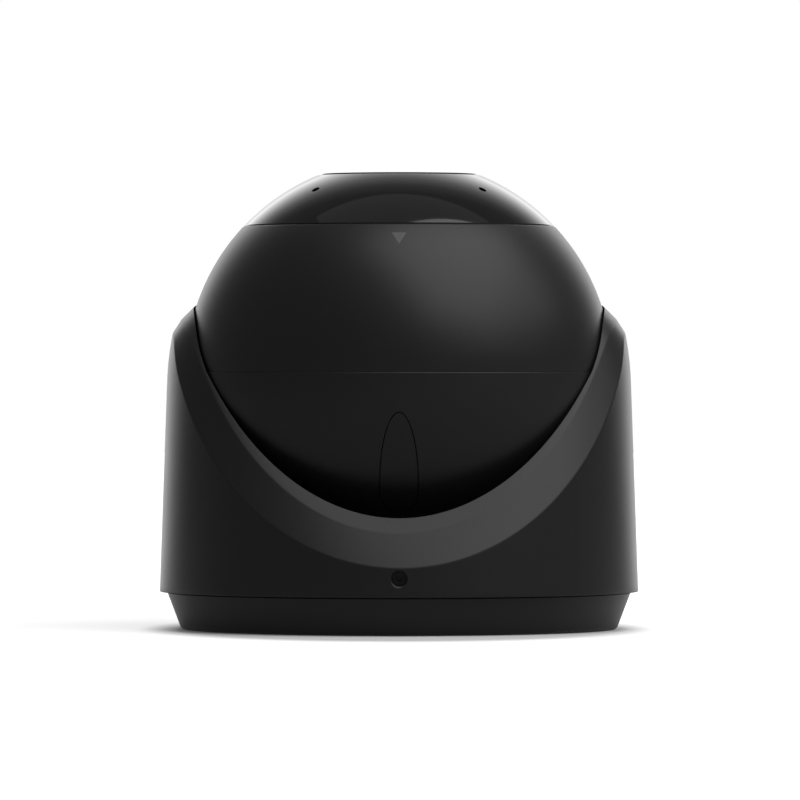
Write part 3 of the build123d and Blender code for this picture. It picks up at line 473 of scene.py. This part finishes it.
# Lock screw. A headless screw with a hexagon socket, blackened steel, that stops the housing from turning.
def oxide_surface(place):
    wear = noise(place, 0.5, 3.0)
    return {
        "Base Color": shades(wear, (0.018, 0.018, 0.019), (0.055, 0.053, 0.050)),
        "Roughness": 0.26 + 0.14 * wear,
    }


black_oxide = finish("black_oxide", oxide_surface, Metallic=0.9)
dress(black_oxide, "lock_screw")

# Cradle. Two thin arms pressed to the ball's curve and a dished hub, blackened spring steel, on two pins.
# The hub carries the ball's neck between acetal washers, held by a slotted nut.
dress(black_oxide, "tilt_cradle", "neck_nut")


# Washers, spacers and reset button. Turned or moulded from pale acetal, which slides well and doesn't conduct.
def acetal_surface(place):
    return {"Base Color": shades(noise(place, 6.0), (0.66, 0.65, 0.61), (0.74, 0.73, 0.69))}


acetal = finish("acetal", acetal_surface, Roughness=0.38)
dress(acetal, "roll_washer", "nut_washer", "board_spacers", "lamp_posts", "reset_button")

# Ball, rear half, and the tongue-shaped service plug low on its front. Both are moulded in the housing's
# satin plastic, and the plug is pressed in flush on its seal, with the reset button behind it.
dress(satin_plastic, "rear_ball_shell", "service_cover")


# Chassis, lens bracket and its posts. A cast aluminium bulkhead across the ball carries the bracket above and
# takes the processor's heat below.
def cast_surface(place):
    sand = noise(place, 0.7, 4.0)
    return {
        "Base Color": shades(sand, (0.46, 0.46, 0.47), (0.60, 0.60, 0.60)),
        "Roughness": 0.42 + 0.20 * sand,
        "Normal": dented(place, sand, 0.02),
    }


cast_aluminium = finish("cast_aluminium", cast_surface, Metallic=1.0)
dress(cast_aluminium, "chassis_plate", "lens_bracket", "bracket_posts")


# Circuit boards. Glass-fibre sheet under green solder mask, on the tie screws' bosses, spacers and posts.
def mask_surface(place):
    tracks = place.node("TexBrick", {}, {
        "Vector": place, "Scale": 1 / (9.0 * MM), "Mortar Size": 0.03, "Color1": (0.010, 0.075, 0.035, 1.0),
        "Color2": (0.008, 0.060, 0.028, 1.0), "Mortar": (0.016, 0.12, 0.055, 1.0),
    })
    return {"Base Color": tracks, "Roughness": 0.34 + 0.1 * noise(place, 1.5)}


circuit_board = finish("circuit_board", mask_surface)
dress(circuit_board, "main_board", "power_board", "sensor_board", "lamp_board", "reset_board")


# Chips and other small black mouldings. Filled epoxy or nylon, soldered or screwed to their boards.
def epoxy_surface(place):
    return {
        "Base Color": shades(noise(place, 0.4), (0.016, 0.016, 0.017), (0.028, 0.028, 0.029)),
        "Normal": dented(place, noise(place, 0.15), 0.003),
    }


epoxy = finish("chip_black", epoxy_surface, Roughness=0.48)
dress(epoxy, "processor", "memory_chips", "network_transformer", "reset_switch", "lens_holder",
      "board_connector", "image_sensor")


# Heat pad. A soft sheet of grey silicone, pressed between the processor and the bulkhead.
def pad_surface(place):
    return {"Base Color": shades(noise(place, 1.2), (0.26, 0.29, 0.32), (0.34, 0.37, 0.40))}


heat_pad = finish("heat_pad_grey", pad_surface, Roughness=0.8)
dress(heat_pad, "heat_pad")


# Capacitors and microphones. Small cans drawn from aluminium, soldered to their boards.
def can_surface(place):
    wear = noise(place, 1.0, 3.0)
    return {
        "Base Color": shades(wear, (0.60, 0.60, 0.61), (0.74, 0.74, 0.74)),
        "Roughness": 0.2 + 0.15 * wear,
    }


drawn_can = finish("can_aluminium", can_surface, Metallic=1.0)
dress(drawn_can, "power_capacitors", "microphones")


# Flat cable. Tinned lanes laminated between clear film, clipped into the board connector.
def film_surface(place):
    lanes = place.node("TexWave", {"bands_direction": "X"}, {"Vector": place, "Scale": 80.0})
    return {"Base Color": shades(lanes, (0.55, 0.55, 0.52), (0.75, 0.75, 0.72))}


film = finish("film", film_surface, Roughness=0.45)
dress(film, "flat_cable")

# Ball, front half. The same satin plastic, drawn in a little at the hairline seam round the equator, and with
# a step under the gloss cover. The tie screws pull it down on the rear half.
COVER_SEAM_Z = 33.5
SEAM_CHAMFER = 0.22
SEAM_STEP = 0.16
SEAM_REACH = 5.0
SEAM_GAP = 0.02
SEAT_EASE = (0.25, 0.5)
BALL_WALL = 2.2
BALL_TURNS = 384
FRONT_STEPS = (64, 40)


def ball_arc(radius, low, high, steps):
    """Points up a ball's side from one height to another."""
    start, end = np.arcsin(low / radius), np.arcsin(high / radius)
    return [(radius * cos(t), radius * sin(t), 0) for t in np.linspace(start, end, steps)]


cover_seat_r = chord(BALL_R, COVER_SEAM_Z)
inner_r = BALL_R - BALL_WALL
front_side = [
    (r - SEAM_STEP * max(0, 1 - z / SEAM_REACH) ** 2, z, 0)
    for r, z, _ in ball_arc(BALL_R, SEAM_GAP, COVER_SEAM_Z - SEAT_EASE[0], FRONT_STEPS[0])]
front_outline = rounded([
    *front_side,
    (cover_seat_r - SEAM_CHAMFER, COVER_SEAM_Z, 0),
    (chord(inner_r, COVER_SEAM_Z), COVER_SEAM_Z, 0),
    *ball_arc(inner_r, SEAM_GAP, COVER_SEAM_Z - SEAT_EASE[1], FRONT_STEPS[1])[::-1],
])
front_mesh = ring_mesh("front_ball_shell", [front_outline] * BALL_TURNS)
front_ball = piece("front_ball_half", shaded(front_mesh, ball=BALL_R), "ball", satin_plastic,
                   ["front_ball_shell"])

# Up mark. A small triangle pad-printed on the front half in grey ink, which takes on the grain below it.
MARK_TOP_Z = 31.4
MARK_TIP_Z = 28.8
MARK_HALF_W = 1.7
MARK_TIP_HALF_W = 0.02
INK_T = 0.03
MARK_ROWS = 12
ink_points, ink_faces = [], []
for skin in (BALL_R + INK_T, BALL_R - INK_T):
    for row in range(MARK_ROWS + 1):
        height = MARK_TOP_Z + (MARK_TIP_Z - MARK_TOP_Z) * row / MARK_ROWS
        half = max(MARK_HALF_W * (1 - row / MARK_ROWS), MARK_TIP_HALF_W)
        for side in np.linspace(-half, half, MARK_ROWS + 1):
            spoke = Vector((side, -sqrt(BALL_R ** 2 - height ** 2 - side ** 2), height)).normalized()
            ink_points.append((spoke * skin + Vector((0, 0, BALL_Z))) * MM)
across = MARK_ROWS + 1
layer = across * across
for row in range(MARK_ROWS):
    for column in range(MARK_ROWS):
        corner = row * across + column
        quad = (corner, corner + across, corner + across + 1, corner + 1)
        ink_faces.append(quad)
        ink_faces.append(tuple(layer + v for v in reversed(quad)))
edge_loop = list(range(across))
edge_loop += [r * across + MARK_ROWS for r in range(1, across)]
edge_loop += [MARK_ROWS * across + c for c in range(MARK_ROWS - 1, -1, -1)]
edge_loop += [r * across for r in range(MARK_ROWS - 1, 0, -1)]
for i, here in enumerate(edge_loop):
    on = edge_loop[(i + 1) % len(edge_loop)]
    ink_faces.append((here, on, layer + on, layer + here))
ink_mesh = bpy.data.meshes.new("up_mark")
ink_mesh.from_pydata(ink_points, [], ink_faces)


def ink_surface(place):
    return {
        "Base Color": shades(noise(place, 0.3, 3.0), (0.085, 0.086, 0.088), (0.125, 0.126, 0.128)),
        "Normal": dented(place, noise(place, SATIN_GRAIN, 3.0), SATIN_GRAIN_DEPTH),
    }


ink = finish("grey_ink", ink_surface, Roughness=0.5)
piece("up_mark", shaded(ink_mesh), "ball", ink)

# Gloss cover. A dome of polished black plastic that infrared light passes, screwed into the front shell from
# behind. Two slanting holes lead to the microphones, and the lens window sits in its rebate.
WINDOW_TOP_Z = 45.5
WINDOW_T = 1.6
WINDOW_PROUD = 0.35
WINDOW_LAND = 1.09
WINDOW_R = chord(BALL_R, WINDOW_TOP_Z - WINDOW_PROUD) - WINDOW_LAND
WINDOW_GAP = 0.15
GASKET_T = 0.3
LEDGE_W = 2.3
LEDGE_T = 1.8
LEDGE_EASE = 2.2
COVER_WALL = 2.0
COVER_LIFT = 0.03
COVER_CROWN = 0.04
COVER_STEPS = (44, 30)
MIC_POLAR = radians(32.0)
MIC_AZIMUTH = radians(47.0)
MIC_HOLE_R = 0.95
MIC_PAST = (3, 2)
cover_in_r = BALL_R - COVER_WALL
cover_top = WINDOW_TOP_Z - WINDOW_PROUD
rebate_z = WINDOW_TOP_Z - WINDOW_T - GASKET_T
ledge_z = rebate_z - LEDGE_T
cover_outline = rounded([
    (cover_seat_r - SEAM_CHAMFER, COVER_SEAM_Z + COVER_LIFT, 0),
    *ball_arc(BALL_R, COVER_SEAM_Z + SEAM_CHAMFER, cover_top - COVER_CROWN, COVER_STEPS[0]),
    (chord(BALL_R, cover_top) - COVER_CROWN, cover_top, 0),
    (WINDOW_R + WINDOW_GAP, cover_top, 0),
    (WINDOW_R + WINDOW_GAP, rebate_z, 0),
    (WINDOW_R - LEDGE_W, rebate_z, 0),
    (WINDOW_R - LEDGE_W, ledge_z, 0),
    (chord(cover_in_r, ledge_z), ledge_z, 0),
    *ball_arc(cover_in_r, COVER_SEAM_Z + COVER_LIFT, rebate_z - LEDGE_EASE, COVER_STEPS[1])[::-1],
])
mic_ways = [
    Vector((side * sin(MIC_POLAR) * sin(MIC_AZIMUTH), -sin(MIC_POLAR) * cos(MIC_AZIMUTH), cos(MIC_POLAR)))
    for side in (1, -1)]
cover_mesh = bored(
    "front_cover", ring_mesh("front_cover", [cover_outline] * BALL_TURNS),
    *[rod(way, way * (cover_in_r - MIC_PAST[0]), way * (BALL_R + MIC_PAST[1]), MIC_HOLE_R) for way in mic_ways])


def gloss_surface(place):
    swirls = noise(place, 5.0, 3.0)
    return {
        "Base Color": shades(swirls, (0.0035, 0.0035, 0.0038), (0.0055, 0.0055, 0.0058)),
        "Roughness": 0.055 + 0.02 * swirls,
    }


gloss_plastic = finish("gloss_cover", gloss_surface, IOR=1.5)
cover = piece("gloss_dome", shaded(cover_mesh, ball=BALL_R), "ball", gloss_plastic, ["front_cover"])


# Lens window. A flat disc of coated glass, bonded over a gasket and standing just proud of the dome. Its
# border is printed black, edge included, so that no stray light gets in from the side.
def glass_surface(place):
    return {"Roughness": 0.004 + 0.02 * noise(place, 9.0, 4.0)}


WINDOW_CLEAR_R = 15.4
WINDOW_BEVEL = 0.04
GLASS_GAP = 0.01
window_low = WINDOW_TOP_Z - WINDOW_T
tinted_glass = finish("optical_glass", glass_surface, IOR=1.5, Base_Color=(0.55, 0.57, 0.60, 1.0),
                      Transmission_Weight=1.0)
border_mesh = ring_mesh("window_border", [[
    (WINDOW_R, window_low), (WINDOW_R, WINDOW_TOP_Z - WINDOW_BEVEL), (WINDOW_R - WINDOW_BEVEL, WINDOW_TOP_Z),
    (WINDOW_CLEAR_R, WINDOW_TOP_Z), (WINDOW_CLEAR_R, window_low)]] * BALL_TURNS)
border = piece("window_border", shaded(border_mesh), "ball", gloss_plastic)
glass_mesh = rod((0, 0, 1), (0, 0, window_low), (0, 0, WINDOW_TOP_Z), WINDOW_CLEAR_R - GLASS_GAP, BALL_TURNS)
window = piece("window_glass", shaded(glass_mesh), "ball", tinted_glass, ["lens_window"])


# Lens. Coated front and rear glass in a black anodised tube with a matt bowl, screwed into the holder over the
# image sensor.
def coat_surface(place):
    return {"Base Color": shades(noise(place, 3.0), (0.60, 0.56, 0.74), (0.60, 0.66, 0.70))}


lens_coat = finish("lens_coating", coat_surface, IOR=1.6, Roughness=0.01, Transmission_Weight=1.0)
dress(lens_coat, "lens_glass")


def anodised_surface(place):
    return {"Base Color": shades(noise(place, 0.3), (0.012, 0.012, 0.013), (0.022, 0.022, 0.023))}


anodised = finish("lens_barrel_black", anodised_surface, Roughness=0.42)
dress(anodised, "lens_barrel")


# Infrared lamps and light sensor. Small chips under clear resin domes, soldered to the lamp board. The lamps
# sit in bright metallised cups.
def resin_surface(place):
    return {"Base Color": shades(noise(place, 0.6), (0.50, 0.46, 0.34), (0.62, 0.58, 0.46))}


lamp_resin = finish("lamp_resin", resin_surface, Roughness=0.12)
dress(lamp_resin, "infrared_lamps", "light_sensor")
mirror = finish("mirror_cup", can_surface, Metallic=1.0)
dress(mirror, "lamp_cups")

# Floor. A plain white table. To the camera it is white, with the object's shadow and, close round the foot, a
# painted shadow: a darker strip where the glow is turned down. In the object's reflections it shines only close
# by, and behind as far as the horizon.
FLOOR_HALF = 4.0
FLOOR_Z = -0.00005
FLOOR_TONE = 0.80
FLOOR_REFLECTED_TONE = 0.34
FLOOR_GLOW = 0.60
FLOOR_FADE = (0.10, 0.45)
SWEEP_FADE = (-0.01, 0.10)
SWEEP_GLOW = 0.8
SWEEP_END = (0.30, 0.12)
HORIZON = (0.72, 0.96)
HORIZON_GLOW = 1.9
NEAR_FADE = (0.12, 0.06)
NEAR_GLOW = 0.07
PAINTED_SHADOW_REACH = (0.060, 0.092)
PAINTED_SHADOW_FADE = (1.0, 0.84)
PAINTED_SHADOW_DIM = 0.55
FLOOR_CORNERS = ((-1, -1), (1, -1), (1, 1), (-1, 1))


def ramp(value, ends):
    """0 at the first end and 1 at the second, straight between them and level past them."""
    return value.node("MapRange", {}, {0: value, 1: ends[0], 2: ends[1]})


floor_mesh = bpy.data.meshes.new("floor")
floor_points = [(x * FLOOR_HALF, y * FLOOR_HALF, FLOOR_Z) for x, y in FLOOR_CORNERS]
floor_mesh.from_pydata(floor_points, [], [(0, 1, 2, 3)])
floor = bpy.data.objects.new("floor", floor_mesh)
bpy.context.scene.collection.objects.link(floor)
floor_material = bpy.data.materials.new("white_table")
floor_material.use_nodes = True
floor_material.node_tree.nodes.clear()
floor_start = Wire(floor_material.node_tree)
seen = floor_start.node("LightPath", output=0)
spot = floor_start.node("TexCoord", output=3)
away = spot.node("VectorMath", {"operation": "LENGTH"}, {0: spot}, output=1)
behind = spot.node("SeparateXYZ", {}, {0: spot}, output=1)
close = ramp(away, SWEEP_END)
sweep = ramp(behind, SWEEP_FADE) * close * SWEEP_GLOW
horizon = ramp(behind.math("DIVIDE", behind, away), HORIZON) * (1.0 - close) * HORIZON_GLOW
near = ramp(away, NEAR_FADE) * NEAR_GLOW
# Painted shadow: to the camera the floor glows less in an oval close round the foot.
under = spot.node("VectorMath", {"operation": "DIVIDE"}, {0: spot, 1: (*PAINTED_SHADOW_REACH, 1.0)})
reach = under.node("VectorMath", {"operation": "LENGTH"}, {0: under}, output=1)
painted_shadow = ramp(reach, PAINTED_SHADOW_FADE) * PAINTED_SHADOW_DIM
camera_glow = FLOOR_GLOW + (1.0 - FLOOR_GLOW) * ramp(away, FLOOR_FADE) - painted_shadow
strength = seen * camera_glow + (1.0 - seen) * (sweep + horizon + near)
tone = shades(seen, (FLOOR_REFLECTED_TONE,) * 3, (FLOOR_TONE,) * 3)
table = floor_start.node("BsdfDiffuse", {}, {"Color": tone})
glow = floor_start.node("Emission", {}, {"Color": (1.0, 1.0, 1.0, 1.0), "Strength": strength})
both = floor_start.node("AddShader", {}, {0: table, 1: glow})
floor_start.node("OutputMaterial", {}, {"Surface": both})
floor_mesh.materials.append(floor_material)

# Room. White to the camera on every side. A tall white backdrop stands behind the object, which its edges
# reflect, and the rest of the room is dim.
BACKDROP = ((0.0, 0.14), (0.70, 0.155), (0.75, 0.27), (0.805, 0.60), (0.85, 1.10), (0.90, 1.78), (0.952, 2.3),
            (0.985, 1.1))
BACKDROP_TALL = 0.4
world = bpy.data.worlds.new("room")
bpy.context.scene.world = world
world.use_nodes = True
world.node_tree.nodes.clear()
sky = Wire(world.node_tree)
way = sky.node("TexCoord", output=0)
ahead = sky.math("MAXIMUM", way.node("SeparateXYZ", {}, {"Vector": way}, output=1), 0.0)
up = way.node("SeparateXYZ", {}, {"Vector": way}, output=2)
near_middle = sky.math("SQRT", ahead * ahead + BACKDROP_TALL * up * up)
backdrop = sky.node("ValToRGB", {"stops": [(at, (level,) * 3) for at, level in BACKDROP]}, {0: near_middle})
to_camera = sky.node("LightPath", output=0)
room = sky.node("Mix", {"data_type": "RGBA"}, {0: to_camera, 6: backdrop, 7: (1.0, 1.0, 1.0, 1.0)}, output=2)
sky.node("OutputWorld", {}, {"Surface": sky.node("Background", {}, {"Color": room})})


# Lamps. A bright soft panel overhead to the right, turned a little, a dimmer one beyond it, and a wide dim one
# above.
def panel(name, way, height, wide, deep, turn, level):
    """A soft panel that lies level over the object, at a radiance that a white mirror would show."""
    lamp = bpy.data.lights.new(name, "AREA")
    lamp.shape, lamp.size, lamp.size_y = "RECTANGLE", wide, deep
    lamp.energy = level * pi * wide * deep
    made = bpy.data.objects.new(name, lamp)
    made.location = (way[0] * height, way[1] * height, height + BALL_Z * MM)
    made.rotation_euler = (0, 0, radians(turn))
    bpy.context.scene.collection.objects.link(made)


panel("key", (0.745, -0.765), 0.8, 1.04, 1.50, 30.6, 1.68)
panel("fill", (2.05, -0.95), 0.8, 1.40, 2.20, 8.0, 0.90)
panel("top", (0.03, 0.0), 0.85, 0.96, 0.60, 0.0, 0.16)

bpy.context.scene.view_settings.view_transform = "Standard"
